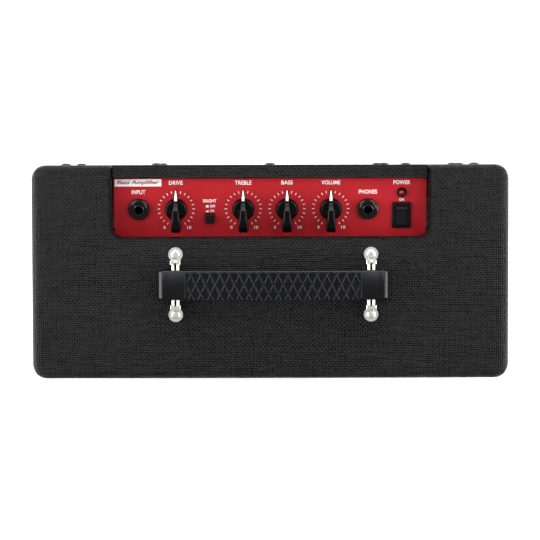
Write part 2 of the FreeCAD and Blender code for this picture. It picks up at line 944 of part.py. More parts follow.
def transformer_core():
    """Stack of steel laminations in a clamping frame with two feet."""
    low = inner_bottom + transformer_foot_sheet
    x0 = transformer_x - core_width / 2
    y0 = transformer_y - core_depth / 2
    core = block(x0, x0 + core_width, y0, y0 + core_depth, low, low + core_height)
    middle = low + core_height / 2
    for side in (-1, 1):
        x = transformer_x + side * 12.0
        half_x = window_width / 2
        half_z = window_height / 2
        window = block(
            x - half_x, x + half_x, y0 - 1, y0 + core_depth + 1, middle - half_z, middle + half_z
        )
        core = core.cut(window)
    reach = transformer_foot_offset + 5.0
    foot = block(
        transformer_x - reach,
        transformer_x + reach,
        transformer_y - 8,
        transformer_y + 8,
        inner_bottom,
        low,
    )
    for side in (-1, 1):
        place = V(transformer_x + side * transformer_foot_offset, transformer_y, inner_bottom - 1)
        foot = foot.cut(rod(clearance_radius, place, place + V(0, 0, 4)))
    return joined([core, foot])


def transformer_windings():
    """Two coils round the centre limb, standing out at the front and rear."""
    gap = 0.2
    low = inner_bottom + transformer_foot_sheet
    middle = low + core_height / 2
    half_x = 16.0 - gap
    half_z = window_height / 2 - gap
    half_y = core_depth / 2
    swell = 7.0
    coil = block(-half_x, half_x, -half_y - swell, half_y + swell, -half_z, half_z)
    limb = block(-8.0 - gap, 8.0 + gap, -half_y - gap, half_y + gap, -half_z - 1, half_z + 1)
    return coil.cut(limb).translated(V(transformer_x, transformer_y, middle))


def heat_sink():
    """Finned aluminium extrusion standing off the board."""
    x0 = -8.0
    length = 44.0
    base = block(x0, x0 + length, -19.5, -17.5, -36.0, board_top - board_sheet)
    fins = []
    count = 8
    for i in range(count):
        x = x0 + i * (length - 1.2) / (count - 1)
        fins.append(block(x, x + 1.2, -18.0, -8.0, -36.0, board_top - board_sheet - 4.0))
    return on_panel(joined([base] + fins))


def amplifier_chip():
    """Power amplifier chip clamped to the back of the heat sink."""
    body = block(8.5, 19.5, -24.2, -19.5, -30.0, -17.0)
    lead_top = board_top - board_sheet
    lead_starts = [9.4 + 2.0 * i for i in range(5)]
    leads = [block(x, x + 0.8, -22.2, -21.6, -17.5, lead_top) for x in lead_starts]
    return on_panel(joined([body] + leads))


def filter_capacitors():
    """Can electrolytics on the underside of the board."""
    cans = []
    radius = 6.4
    length = 21.0
    for x in (-78.0, -58.0, 48.0):
        top = board_top - board_sheet
        can = rod(radius, V(x, -4.0, top - length), V(x, -4.0, top))
        rim = [e for e in can.Edges if e.BoundBox.ZMax < top - length + 1e-3]
        cans.append(on_panel(can.makeFillet(0.8, rim)))
    return cans


def handle_link(side):
    """Closed loop of wire through the strap's end, standing out to the front and rear."""
    bend = link_bend_radius
    half = link_half_length - link_wire_radius - bend
    points = [V(-bend, -half, 0), V(-bend, half, 0), V(bend, half, 0), V(bend, -half, 0)]
    edges = [
        Part.LineSegment(points[0], points[1]).toShape(),
        Part.Arc(points[1], V(0, half + bend, 0), points[2]).toShape(),
        Part.LineSegment(points[2], points[3]).toShape(),
        Part.Arc(points[3], V(0, -half - bend, 0), points[0]).toShape(),
    ]
    path = Part.Wire(edges)
    section = Part.Wire(Part.makeCircle(link_wire_radius, points[0], V(0, 1, 0)))
    ring = path.makePipeShell([section], True, True)
    place = V(handle_x + side * link_offset, handle_y, cabinet_top + link_height)
    return ring.translated(place)


def handle_strap(links):
    """Moulded strap with a thick block at each end and a shallow arch between them."""
    rest = cabinet_top + 0.3
    toe = handle_half_length - 4.5
    block_end = 68.0
    under_start = 50.0
    under = 251.8
    shoulder = 251.5
    half = handle_half_length
    low_right = V(toe, 0, rest)
    nose_right = V(half, 0, rest + 5.2)
    top_right = V(toe - 2.0, 0, shoulder)
    low_left = V(-toe, 0, rest)
    nose_left = V(-half, 0, rest + 5.2)
    top_left = V(-toe + 2.0, 0, shoulder)
    edges = [
        Part.LineSegment(low_left, V(-block_end, 0, rest)).toShape(),
        Part.LineSegment(V(-block_end, 0, rest), V(-under_start, 0, under - 1.4)).toShape(),
        Part.Arc(
            V(-under_start, 0, under - 1.4), V(0, 0, under), V(under_start, 0, under - 1.4)
        ).toShape(),
        Part.LineSegment(V(under_start, 0, under - 1.4), V(block_end, 0, rest)).toShape(),
        Part.LineSegment(V(block_end, 0, rest), low_right).toShape(),
        Part.Arc(low_right, nose_right, top_right).toShape(),
        Part.Arc(top_right, V(0, 0, handle_top_z), top_left).toShape(),
        Part.Arc(top_left, nose_left, low_left).toShape(),
    ]
    strap = Part.Face(Part.Wire(edges)).extrude(V(0, handle_width, 0))
    strap = strap.translated(V(0, -handle_width / 2, 0))
    crown = handle_top_z - 0.5
    ridge = [e for e in strap.Edges if e.BoundBox.ZMax > crown and e.BoundBox.XLength > half]
    strap = strap.makeFillet(2.2, ridge)
    strap = strap.translated(V(handle_x, handle_y, 0))
    for link in links:
        strap = strap.cut(link)
    return strap


bracket_sheet = 1.0


def handle_bracket(side, end):
    """Pressed clip: an eye for the screw and two ears folded over the loop's end."""
    eye_radius = 5.7
    top = cabinet_top + bracket_sheet
    eye = rod(eye_radius, V(0, 0, cabinet_top), V(0, 0, top))
    reach = 7.6
    ear_start = 4.9
    ear_outer = 4.0
    ear_inner = 3.3
    ear_tip = 0.9
    neck = block(-ear_outer, ear_outer, 2.0, reach, cabinet_top, top)
    ear_height = 8.0
    ears = []
    for hand in (-1, 1):
        x0, x1 = sorted((hand * ear_inner, hand * ear_outer))
        ears.append(block(x0, x1, ear_start, reach, cabinet_top, cabinet_top + ear_height))
        x0, x1 = sorted((hand * ear_tip, hand * ear_outer))
        high = cabinet_top + ear_height
        ears.append(block(x0, x1, ear_start, reach, high - bracket_sheet, high))
    bracket = joined([eye, neck] + ears)
    folds = [
        e
        for e in bracket.Edges
        if e.BoundBox.ZMin > cabinet_top + ear_height - 1e-3
        and e.BoundBox.YLength > 2
        and abs(e.BoundBox.Center.x) > ear_outer - 0.1
    ]
    bracket = bracket.makeFillet(0.6, folds)
    bracket = bracket.cut(rod(clearance_radius, V(0, 0, cabinet_top - 1), V(0, 0, top + 1)))
    if end > 0:
        bracket = bracket.rotated(V(0, 0, 0), V(0, 0, 1), 180)
    x = handle_x + side * link_offset
    return bracket.translated(V(x, handle_y + end * bracket_offset, 0))


def handle_screws():
    seat = cabinet_top + bracket_sheet
    return [pan_screw(V(x, y, seat), V(0, 0, 1), 12.0, 3.4) for x, y in handle_screw_places()]


body = cabinet_body()
left_side, right_side = side_boards(body)
save("top_board", top_board(body))
save("bottom_board", bottom_board(body))
save("left_side_board", left_side)
save("right_side_board", right_side)
save("cabinet_battens", *cabinet_battens())
save("upper_rear_board", upper_rear_board())
save("lower_rear_board", lower_rear_board())
save("rear_board_screws", *rear_board_screws())
save("feet", *feet())
save("foot_screws", *foot_screws())
save("baffle_board", baffle())
save("grille_frame", grille_frame())
save("grille_cloth", grille_cloth())

for name, side in (("left", -1), ("right", 1)):
    save(name + "_speaker_frame", speaker_frame(side))
    save(name + "_speaker_magnet", speaker_magnet(side))
    save(name + "_speaker_cone", *speaker_cone(side))
    save(name + "_voice_coil", voice_coil(side))
save("speaker_surrounds", speaker_surround(-1), speaker_surround(1))
save("speaker_spiders", speaker_spider(-1), speaker_spider(1))
save("speaker_screws", *speaker_screws())

save("control_panel", control_panel())
save("chassis", chassis())
save("chassis_screws", *chassis_screws())
save("circuit_board", circuit_board())
for name, x in knob_places.items():
    save(name + "_pot", potentiometer(x))
    save(name + "_shaft", pot_shaft(x))
    save(name + "_knob", knob(x))
save("pot_nuts", *pot_nuts())
save("input_jack", jack(input_jack_x))
save("phones_jack", jack(phones_jack_x))
save("jack_nuts", *jack_nuts())
save("bright_switch", bright_switch())
save("bright_button", bright_button())
save("power_led", power_led())
save("led_bezel", led_bezel())
save("rocker_housing", rocker_housing())
save("power_rocker", power_rocker())
save("mains_inlet", mains_inlet())
save("transformer_core", transformer_core())
save("transformer_windings", transformer_windings())
save("heat_sink", heat_sink())
save("amplifier_chip", amplifier_chip())
save("filter_capacitors", *filter_capacitors())

links = [handle_link(-1), handle_link(1)]
save("handle_strap", handle_strap(links))
save("handle_links", *links)
save("handle_brackets", *[handle_bracket(side, end) for side in (-1, 1) for end in (-1, 1)])
save("handle_screws", *handle_screws())
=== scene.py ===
import json
import math

import bmesh
import bpy
from mathutils import Matrix, Vector


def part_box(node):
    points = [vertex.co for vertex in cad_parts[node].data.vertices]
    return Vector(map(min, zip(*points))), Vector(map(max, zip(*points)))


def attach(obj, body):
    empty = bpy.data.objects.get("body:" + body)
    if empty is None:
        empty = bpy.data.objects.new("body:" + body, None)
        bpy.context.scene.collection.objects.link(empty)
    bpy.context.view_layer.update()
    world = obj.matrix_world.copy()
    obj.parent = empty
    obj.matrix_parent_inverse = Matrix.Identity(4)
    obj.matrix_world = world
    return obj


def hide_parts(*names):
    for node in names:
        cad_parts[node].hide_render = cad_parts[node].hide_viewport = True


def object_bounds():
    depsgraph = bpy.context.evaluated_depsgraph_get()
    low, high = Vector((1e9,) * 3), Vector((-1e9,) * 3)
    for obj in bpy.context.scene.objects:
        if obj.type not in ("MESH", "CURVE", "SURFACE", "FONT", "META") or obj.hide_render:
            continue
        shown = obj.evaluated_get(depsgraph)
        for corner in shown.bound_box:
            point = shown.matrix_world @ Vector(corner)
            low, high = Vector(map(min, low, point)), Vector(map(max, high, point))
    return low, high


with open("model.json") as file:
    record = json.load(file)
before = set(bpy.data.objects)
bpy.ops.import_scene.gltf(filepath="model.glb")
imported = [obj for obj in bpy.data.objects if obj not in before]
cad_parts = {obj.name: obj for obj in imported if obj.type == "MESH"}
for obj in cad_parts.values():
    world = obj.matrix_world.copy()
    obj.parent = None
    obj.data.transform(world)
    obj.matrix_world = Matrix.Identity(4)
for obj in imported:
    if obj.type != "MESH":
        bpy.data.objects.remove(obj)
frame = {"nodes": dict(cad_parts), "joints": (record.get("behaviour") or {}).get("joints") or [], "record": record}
cad_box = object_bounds()

# Cabinet shell: four boards glued into a box, rounded over along every outside edge and
# wrapped in one piece of black vinyl that is embossed like coarse linen. The recess for the
# controls is sawn out of the top, open to the rear, and the vinyl is turned down into it.
side_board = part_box("left_side_board")
shell_low = Vector(side_board[0])
shell_high = Vector((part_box("right_side_board")[1][0], side_board[1][1], side_board[1][2]))
inner_x = -side_board[1][0]
inner_low_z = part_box("bottom_board")[1][2]
inner_high_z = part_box("top_board")[0][2]
plan_corner = 0.0115
side_round = 0.012
rear_round = 0.006
recess_half = 0.1255
recess_front = 0.0278
recess_corner = 0.008
recess_rim = 0.0028
mouth_rim = 0.0012
# how far a lip reaches from its face, how near counts as touching, how near points are merged,
# and how far a cutter runs past the work
lip = 0.002
near = 1e-5
weld = 1e-6
through = 0.01


def take(piece):
    """Makes one piece the only one selected."""
    if bpy.context.mode != "OBJECT":
        bpy.ops.object.mode_set(mode="OBJECT")
    bpy.ops.object.select_all(action="DESELECT")
    piece.select_set(True)
    bpy.context.view_layer.objects.active = piece
    return piece


def settled(name):
    """Names the newest primitive and moves its place, turn and size into its mesh."""
    piece = bpy.context.active_object
    piece.name = name
    bpy.ops.object.transform_apply(location=True, rotation=True, scale=True)
    return piece


def add_box(name, low, high):
    """A box between two corners."""
    bpy.ops.object.select_all(action="DESELECT")
    low = Vector(low)
    high = Vector(high)
    bpy.ops.mesh.primitive_cube_add(size=1, location=(low + high) / 2, scale=high - low)
    return settled(name)


def pick(piece, kind, choose):
    """Opens a piece in edit mode with the edges, faces or points that choose accepts selected."""
    take(piece)
    bpy.ops.object.mode_set(mode="EDIT")
    bpy.ops.mesh.select_mode(type=kind)
    bpy.ops.mesh.select_all(action="DESELECT")
    form = bmesh.from_edit_mesh(piece.data)
    form.normal_update()
    for item in {"EDGE": form.edges, "FACE": form.faces, "VERT": form.verts}[kind]:
        if choose(item):
            item.select_set(True)
    bmesh.update_edit_mesh(piece.data)


def close(piece):
    """Leaves edit mode."""
    bpy.ops.object.mode_set(mode="OBJECT")
    return piece


def run_along(edge, axis):
    """How far an edge runs along one axis, 0 for x, 1 for y and 2 for z."""
    return abs(edge.verts[1].co[axis] - edge.verts[0].co[axis])


def round_edges(piece, choose, width, steps):
    """Rounds the chosen edges over with a router of the given radius."""
    pick(piece, "EDGE", choose)
    bpy.ops.mesh.bevel(offset=width, segments=steps, profile=0.5, affect="EDGES")
    return close(piece)


def worked(piece, kind, **settings):
    """Adds one modifier and applies it."""
    take(piece)
    modifier = piece.modifiers.new(kind.lower(), kind)
    for key, value in settings.items():
        setattr(modifier, key, value)
    bpy.ops.object.modifier_apply(modifier=modifier.name)
    return piece


def cut(piece, tool, operation="DIFFERENCE"):
    """Cuts a piece with a tool, or joins the tool to it, and throws the tool away."""
    worked(piece, "BOOLEAN", operation=operation, object=tool, solver="EXACT")
    bpy.data.objects.remove(tool)
    return piece


def smooth(piece, degrees):
    """Shades a piece smooth wherever its faces meet at less than the given angle."""
    take(piece)
    bpy.ops.object.shade_smooth_by_angle(angle=math.radians(degrees))
    return piece


def outside_corner(edge, degrees=40.0):
    """True for an edge that stands out more sharply than the given angle."""
    return len(edge.link_faces) == 2 and edge.calc_face_angle_signed(0.0) > math.radians(degrees)


shell = add_box("cabinet_vinyl", shell_low, shell_high)
take(shell)
bpy.ops.object.mode_set(mode="EDIT")
form = bmesh.from_edit_mesh(shell.data)
weights = form.edges.layers.float.new("bevel_weight_edge")
for edge in form.edges:
    if run_along(edge, 2) > near:
        edge[weights] = plan_corner / side_round
    elif run_along(edge, 1) > near:
        edge[weights] = 1.0
    else:
        edge[weights] = rear_round / side_round
bmesh.update_edit_mesh(shell.data)
close(shell)
worked(shell, "BEVEL", width=side_round, segments=8, limit_method="WEIGHT")
cavity = add_box(
    "cavity",
    (-inner_x, shell_low.y - through, inner_low_z),
    (inner_x, shell_high.y + through, inner_high_z),
)
cut(shell, cavity)
recess = add_box(
    "recess",
    (-recess_half, recess_front, inner_high_z - through),
    (recess_half, shell_high.y + through, shell_high.z + through),
)
round_edges(
    recess,
    lambda e: run_along(e, 2) > near and e.verts[0].co.y < recess_front + near,
    recess_corner,
    6,
)
cut(shell, recess)


def on_recess_rim(edge):
    """The lip that runs round the recess in the top face and down over the rear edge."""
    inside = all(
        abs(v.co.x) < recess_half + near
        and v.co.y > recess_front - near
        and v.co.z > inner_high_z + lip
        for v in edge.verts
    )
    return inside and outside_corner(edge)


def on_mouth(edge):
    """The inner edges of the open front, where the vinyl turns in behind the grille."""
    return outside_corner(edge, 60.0) and all(v.co.y < shell_low.y + lip for v in edge.verts)


round_edges(shell, on_recess_rim, recess_rim, 4)
round_edges(shell, on_mouth, mouth_rim, 2)
smooth(shell, 30.0)


class Signal:
    """One output in a material's nodes, so that shader sums read as arithmetic."""

    def __init__(self, paint, socket):
        self.paint = paint
        self.socket = socket

    def math(self, operation, first, second=0.0):
        return self.paint.node("ShaderNodeMath", {0: first, 1: second}, operation=operation)

    def __add__(self, other):
        return self.math("ADD", self, other)

    def __sub__(self, other):
        return self.math("SUBTRACT", self, other)

    def __mul__(self, other):
        return self.math("MULTIPLY", self, other)

    def __truediv__(self, other):
        return self.math("DIVIDE", self, other)

    def __pow__(self, other):
        return self.math("POWER", self, other)

    def __rsub__(self, other):
        return self.math("SUBTRACT", other, self)

    def __gt__(self, other):
        return self.math("GREATER_THAN", self, other)

    __radd__ = __add__
    __rmul__ = __mul__

    def sine(self):
        return self.math("SINE", self)

    def size(self):
        return self.math("ABSOLUTE", self)

    def greater(self, other):
        return self.math("MAXIMUM", self, other)

    def lesser(self, other):
        return self.math("MINIMUM", self, other)


class Paint:
    """One finish: a material with a Principled shader whose even values are set directly."""

    def __init__(self, name, color, roughness, **even):
        self.material = bpy.data.materials.new(name)
        self.material.use_nodes = True
        self.tree = self.material.node_tree
        self.shader = self.tree.nodes["Principled BSDF"]
        self.shader.inputs["Base Color"].default_value = (*color, 1.0)
        self.shader.inputs["Roughness"].default_value = roughness
        for key, value in even.items():
            self.shader.inputs[key.replace("_", " ")].default_value = value

    def node(self, kind, inputs=None, out=0, **settings):
        """Any node: its settings first, then the values or links of its sockets."""
        made = self.tree.nodes.new(kind)
        for key, value in settings.items():
            setattr(made, key, value)
        for key, value in (inputs or {}).items():
            if isinstance(value, Signal):
                self.tree.links.new(value.socket, made.inputs[key])
            else:
                made.inputs[key].default_value = value
        return Signal(self, made.outputs[out])

    def place(self):
        """The point on the piece, in metres."""
        return self.node("ShaderNodeTexCoord", out="Object")

    def axes(self, vector):
        """The three parts of a vector."""
        split = self.node("ShaderNodeSeparateXYZ", {0: vector})
        outputs = split.socket.node.outputs
        return [Signal(self, outputs[i]) for i in range(3)]

    def mottle(self, vector, scale, detail=2.0, roughness=0.5):
        """Cloudy noise from 0 to 1, with its scale in 1/metre."""
        inputs = {"Vector": vector, "Scale": scale, "Detail": detail, "Roughness": roughness}
        return self.node("ShaderNodeTexNoise", inputs)

    def streaks(self, stretch, scale, detail):
        """Cloudy noise that is drawn out along each axis whose stretch is under 1."""
        drawn_out = self.node("ShaderNodeMapping", {"Vector": self.place(), "Scale": stretch})
        return self.mottle(drawn_out, scale, detail)

    def mixed(self, factor, low, high):
        """A colour between two."""
        low = low if isinstance(low, Signal) else (*low, 1.0)
        high = high if isinstance(high, Signal) else (*high, 1.0)
        inputs = {"Factor": factor, 6: low, 7: high}
        return self.node("ShaderNodeMix", inputs, out=2, data_type="RGBA")

    def feed(self, name, signal):
        self.tree.links.new(signal.socket, self.shader.inputs[name])

    def bump(self, height, depth):
        """Relief from a height that runs from 0 to 1, depth metres high."""
        relief = self.node("ShaderNodeBump", {"Height": height, "Strength": 1.0, "Distance": depth})
        self.feed("Normal", relief)


def finish_with(piece, paint):
    """Gives a piece or a CAD node one material all over."""
    piece.data.materials.clear()
    piece.data.materials.append(paint.material)


def linen(paint, u, v, pitch, unevenness):
    """Embossed linen: uneven threads that pass over and under each other, from 0 to 1."""
    drift_scale = 140.0
    sway_scale = 61.0
    sway_share = 2.2
    fullness = 0.7
    weft_height = 0.9
    crossing_share = 0.38
    drift = paint.mottle(paint.place(), drift_scale) * unevenness
    sway = paint.mottle(paint.place(), sway_scale) * (unevenness * sway_share)
    across = (u / pitch + drift + sway) * math.pi
    along = (v / pitch + drift - sway) * math.pi
    weft = across.sine().size() ** fullness
    warp = along.sine().size() ** fullness
    turn = (across.sine() * along.sine()) > 0.0
    over = weft * (1.0 - turn) * weft_height + warp * turn
    return over * (1.0 - crossing_share) + weft * warp * crossing_share


def flat_places(paint):
    """Two coordinates that lie in whichever face of the cabinet the point is on."""
    x, y, z = paint.axes(paint.place())
    facing = paint.node("ShaderNodeTexCoord", out="Normal")
    nx, ny, nz = [part.size() for part in paint.axes(facing)]
    on_top = nz > nx.greater(ny)
    on_side = nx > nz.greater(ny)
    u = x * (1.0 - on_side) + y * on_side
    v = y * on_top + z * (1.0 - on_top)
    return u, v


# the vinyl's own black on the crowns of the emboss, and a darker black for the gaps between the threads, which is
# painted shade
painted_gap_shade = (0.0003, 0.0003, 0.0003)
thread_crown = (0.0052, 0.0052, 0.0056)
thread_pitch = 0.0018
thread_unevenness = 0.45
emboss_depth = 0.0011
weave_share = 0.8
rib_share = 1.25
dash_share = 0.95
gap_shade_level = 0.3
gap_shade_contrast = 2.6
vinyl = Paint("black_linen_vinyl", thread_crown, 0.5, Specular_IOR_Level=0.105)
vinyl_u, vinyl_v = flat_places(vinyl)
weave = linen(vinyl, vinyl_u, vinyl_v, thread_pitch, thread_unevenness)
ribs = vinyl.streaks((0.24, 1.0, 1.0), 360.0, 1.5)
dashes = vinyl.streaks((1.0, 0.26, 0.26), 380.0, 1.5)
emboss = weave * weave_share + (ribs - 0.5) * rib_share + (dashes - 0.5) * dash_share
vinyl.bump(emboss, emboss_depth)
# Painted shade: the base colour is darkened in the low places of the emboss, between the threads, down to the
# painted gap shade colour.
out_of_gap_shade = ((emboss - gap_shade_level) * gap_shade_contrast).greater(0.0).lesser(1.0)
vinyl.feed("Base Color", vinyl.mixed(out_of_gap_shade, painted_gap_shade, thread_crown))
vinyl.feed("Roughness", 0.42 - weave * 0.12)
finish_with(shell, vinyl)
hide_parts("top_board", "bottom_board", "left_side_board", "right_side_board")
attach(shell, "root")

# Battens: planed softwood strips glued into the corners of the box, which the rear boards,
# the baffle and the control chassis are screwed to.
pine = Paint("planed_pine", (0.5, 0.33, 0.17), 0.62)
grain = pine.streaks((0.12, 1.0, 1.0), 240.0, 5.0)
pine.feed("Base Color", pine.mixed(grain, (0.62, 0.44, 0.25), (0.36, 0.22, 0.1)))
pine.bump(grain, 0.0002)
finish_with(frame["nodes"]["cabinet_battens"], pine)

# Rear boards: two pieces of fibreboard wrapped in the same vinyl and screwed on from behind.
# The upper one has a tab that closes the recess at the rear. Its top edge shows from above.
for name in ("upper_rear_board", "lower_rear_board"):
    finish_with(frame["nodes"][name], vinyl)

# Screws: steel, with pan heads. Those of the rear boards and the speakers are oxidised black.
# Those of the feet and the chassis are zinc plated, as are the nuts of the potentiometers.
black_steel = Paint("black_oxide_steel", (0.03, 0.03, 0.032), 0.35, Metallic=0.85)
scuff = black_steel.mottle(black_steel.place(), 900.0, 3.0)
black_steel.feed("Roughness", 0.25 + scuff * 0.25)
black_steel.feed("Base Color", black_steel.mixed(scuff, (0.02, 0.02, 0.022), (0.07, 0.07, 0.07)))
riders = {}
for rider_body, rider_nodes in frame["record"]["behaviour"]["bodies"].items():
    riders.update({node: rider_body for node in rider_nodes})


def dressed(node, ending, paint, degrees=30.0):
    """A smooth-shaded piece that has a CAD node's own surface, with its corners joined up."""
    piece = bpy.data.objects.new(node + ending, frame["nodes"][node].data.copy())
    bpy.context.collection.objects.link(piece)
    take(piece)
    if piece.data.has_custom_normals:
        bpy.ops.mesh.customdata_custom_splitnormals_clear()
    pick(piece, "VERT", lambda v: True)
    bpy.ops.mesh.remove_doubles(threshold=weld)
    close(piece)
    smooth(piece, degrees)
    finish_with(piece, paint)
    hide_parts(node)
    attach(piece, riders[node])
    return piece


dressed("rear_board_screws", "_blackened", black_steel)
finish_with(frame["nodes"]["speaker_screws"], black_steel)

zinc = Paint("zinc_plate", (0.6, 0.58, 0.52), 0.3, Metallic=1.0)
bloom = zinc.mottle(zinc.place(), 500.0, 3.0)
zinc.feed("Roughness", 0.22 + bloom * 0.25)
zinc.feed("Base Color", zinc.mixed(bloom, (0.7, 0.68, 0.62), (0.5, 0.5, 0.5)))
for name in ("foot_screws", "pot_nuts", "chassis_screws"):
    finish_with(frame["nodes"][name], zinc)

# Feet: moulded rubber, tapered, one near each corner of the bottom, each held by a screw that
# is sunk in its middle.
rubber = Paint("foot_rubber", (0.012, 0.012, 0.012), 0.75)
skin = rubber.mottle(rubber.place(), 1500.0, 2.0)
rubber.bump(skin, 0.0001)
rubber.feed("Roughness", 0.65 + skin * 0.2)
dressed("feet", "_moulded", rubber)

# Grille: a wooden frame with loudspeaker cloth stretched over its face and stapled behind.
# The cloth is a plain open weave of black yarn with a grey fleck.
cloth_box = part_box("grille_cloth")
frame_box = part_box("grille_frame")
cloth_low = Vector(cloth_box[0])
cloth_high = Vector(cloth_box[1])
cloth_front = (cloth_box[0][1] + frame_box[0][1]) / 2
cloth_middle = (cloth_low + cloth_high) / 2
cloth_half = (cloth_high - cloth_low) / 2
cloth_inset = 0.0004
cloth_turn = 0.002
cloth_side = 0.005
cloth_thickness = 0.0003
cloth_slack = 0.0006
rail_width = 0.006
bpy.ops.object.select_all(action="DESELECT")
bpy.ops.mesh.primitive_grid_add(
    x_subdivisions=60,
    y_subdivisions=36,
    size=1,
    location=(cloth_middle.x, cloth_front, cloth_middle.z),
    rotation=(math.pi / 2, 0, 0),
)
bpy.context.active_object.scale = (
    cloth_high.x - cloth_low.x - cloth_inset,
    cloth_high.z - cloth_low.z - cloth_inset,
    1.0,
)
cloth = settled("grille_cloth_front")
pick(cloth, "EDGE", lambda e: len(e.link_faces) == 1)
bpy.ops.mesh.extrude_region_move(TRANSFORM_OT_translate={"value": (0.0, cloth_side, 0.0)})
close(cloth)
round_edges(
    cloth,
    lambda e: outside_corner(e, 60.0) and all(v.co.y < cloth_front + near for v in e.verts),
    cloth_turn,
    3,
)
for vertex in cloth.data.vertices:
    slack_x = 1.0 - ((vertex.co.x - cloth_middle.x) / cloth_half.x) ** 2
    slack_z = 1.0 - ((vertex.co.z - cloth_middle.z) / cloth_half.z) ** 2
    bay = abs(math.sin(math.pi * vertex.co.x / (cloth_high.x - rail_width)))
    vertex.co.y += cloth_slack * max(slack_x, 0.0) * max(slack_z, 0.0) * bay
worked(cloth, "SOLIDIFY", thickness=cloth_thickness, offset=-1.0)
smooth(cloth, 50.0)
yarn = Paint("loudspeaker_cloth", (0.02, 0.02, 0.021), 0.85, Specular_IOR_Level=0.2)
yarn_axes = yarn.axes(yarn.place())
yarn_pitch = 0.0011
thread_u = (yarn_axes[0] / yarn_pitch * math.pi).sine()
thread_v = (yarn_axes[2] / yarn_pitch * math.pi).sine()
turn = (thread_u * thread_v) > 0.0
cloth_height = thread_u.size() * turn + thread_v.size() * (1.0 - turn)
fleck = yarn.mottle(yarn.place(), 420.0, 2.0) > 0.62
yarn.bump(cloth_height, 0.0007)
# The colour is darker where the yarns dip: painted shade between the threads, while the grey fleck is the yarn's
# own colour.
fleck_and_thread_shade = (fleck * 0.5 + 0.5) * cloth_height
yarn.feed("Base Color", yarn.mixed(fleck_and_thread_shade, (0.003, 0.003, 0.0035), (0.05, 0.05, 0.053)))
finish_with(cloth, yarn)
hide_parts("grille_cloth")
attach(cloth, "root")

# Baffle and speakers: a black-painted board with two paper-coned units, each a pressed
# basket, a ferrite ring magnet, a ribbed cone with its dust cap, a foam edge and a spider.
black_board = Paint("black_painted_board", (0.014, 0.014, 0.014), 0.8)
black_board.bump(black_board.mottle(black_board.place(), 700.0, 3.0), 0.0002)
for name in ("baffle_board", "grille_frame"):
    finish_with(frame["nodes"][name], black_board)
basket = Paint("stove_enamel", (0.02, 0.02, 0.022), 0.4, Metallic=0.3)
basket.bump(basket.mottle(basket.place(), 1200.0), 0.00005)
ferrite = Paint("ferrite", (0.05, 0.05, 0.055), 0.6)
ferrite.bump(ferrite.mottle(ferrite.place(), 900.0, 4.0), 0.0001)
paper = Paint("cone_paper", (0.018, 0.018, 0.018), 0.9)
paper.bump(paper.mottle(paper.place(), 1300.0, 5.0), 0.00025)
copper = Paint("enamelled_copper", (0.62, 0.26, 0.1), 0.3, Metallic=1.0)
wire_pitch = 0.0003
copper_y = copper.axes(copper.place())[1]
copper.bump((copper_y / wire_pitch * math.pi).sine().size(), 0.0001)
foam = Paint("edge_foam", (0.012, 0.012, 0.012), 0.95)
foam.bump(foam.mottle(foam.place(), 2200.0, 3.0), 0.0002)
spider = Paint("spider_cloth", (0.42, 0.25, 0.08), 0.85)
spider.bump(spider.mottle(spider.place(), 1800.0, 2.0), 0.0002)
for side in ("left", "right"):
    finish_with(frame["nodes"][side + "_speaker_frame"], basket)
    finish_with(frame["nodes"][side + "_speaker_magnet"], ferrite)
    finish_with(frame["nodes"][side + "_speaker_cone"], paper)
    finish_with(frame["nodes"][side + "_voice_coil"], copper)
finish_with(frame["nodes"]["speaker_surrounds"], foam)
finish_with(frame["nodes"]["speaker_spiders"], spider)

# Control panel: an aluminium sheet, stoved red, with white silk-screened lettering. It lies
# on the folded steel chassis, tilted towards the player.
panel_red = Paint("panel_enamel", (0.4, 0.02, 0.025), 0.42, Specular_IOR_Level=0.2)
orange_peel = panel_red.mottle(panel_red.place(), 800.0, 2.0)
shade = panel_red.mottle(panel_red.place(), 30.0, 3.0)
panel_red.feed("Base Color", panel_red.mixed(shade, (0.42, 0.012, 0.019), (0.48, 0.017, 0.023)))
panel_red.feed("Roughness", 0.38 + orange_peel * 0.14)
panel_red.bump(orange_peel, 0.00006)
finish_with(frame["nodes"]["control_panel"], panel_red)

steel = Paint("zinc_coated_steel", (0.5, 0.51, 0.52), 0.35, Metallic=1.0)
spangle = steel.node("ShaderNodeTexVoronoi", {"Vector": steel.place(), "Scale": 160.0}, out="Color")
steel.feed("Roughness", 0.25 + steel.axes(spangle)[0] * 0.25)
knob_names = ("drive", "treble", "bass", "volume")
for name in ["chassis"] + [knob + "_pot" for knob in knob_names]:
    finish_with(frame["nodes"][name], steel)

joints = {joint["name"]: joint for joint in frame["joints"]}
first_turn = joints[knob_names[0] + "_knob_turn"]
tilt = math.atan2(-first_turn["axis"][1], first_turn["axis"][2])
panel_origin = Vector((0.0, first_turn["pos_m"][1], first_turn["pos_m"][2]))
on_panel = Matrix.Translation(panel_origin) @ Matrix.Rotation(tilt, 4, "X")
knob_x = {name: joints[name + "_knob_turn"]["pos_m"][0] for name in knob_names}


def panel_x(node):
    """Where the middle of a CAD node lies from left to right."""
    low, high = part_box(node)
    return (low[0] + high[0]) / 2


ink = Paint("screen_ink", (0.95, 0.94, 0.93), 0.5)
pinholes = ink.mottle(ink.place(), 2500.0, 2.0)
ink.feed("Base Color", ink.mixed(pinholes, (0.92, 0.91, 0.9), (0.98, 0.97, 0.96)))
red_ink = Paint("red_ink", (0.34, 0.012, 0.018), 0.5)
red_pinholes = red_ink.mottle(red_ink.place(), 900.0)
red_ink.feed("Base Color", red_ink.mixed(red_pinholes, (0.3, 0.01, 0.015), (0.38, 0.015, 0.02)))
ink_lift = 0.00004
ink_pieces = []


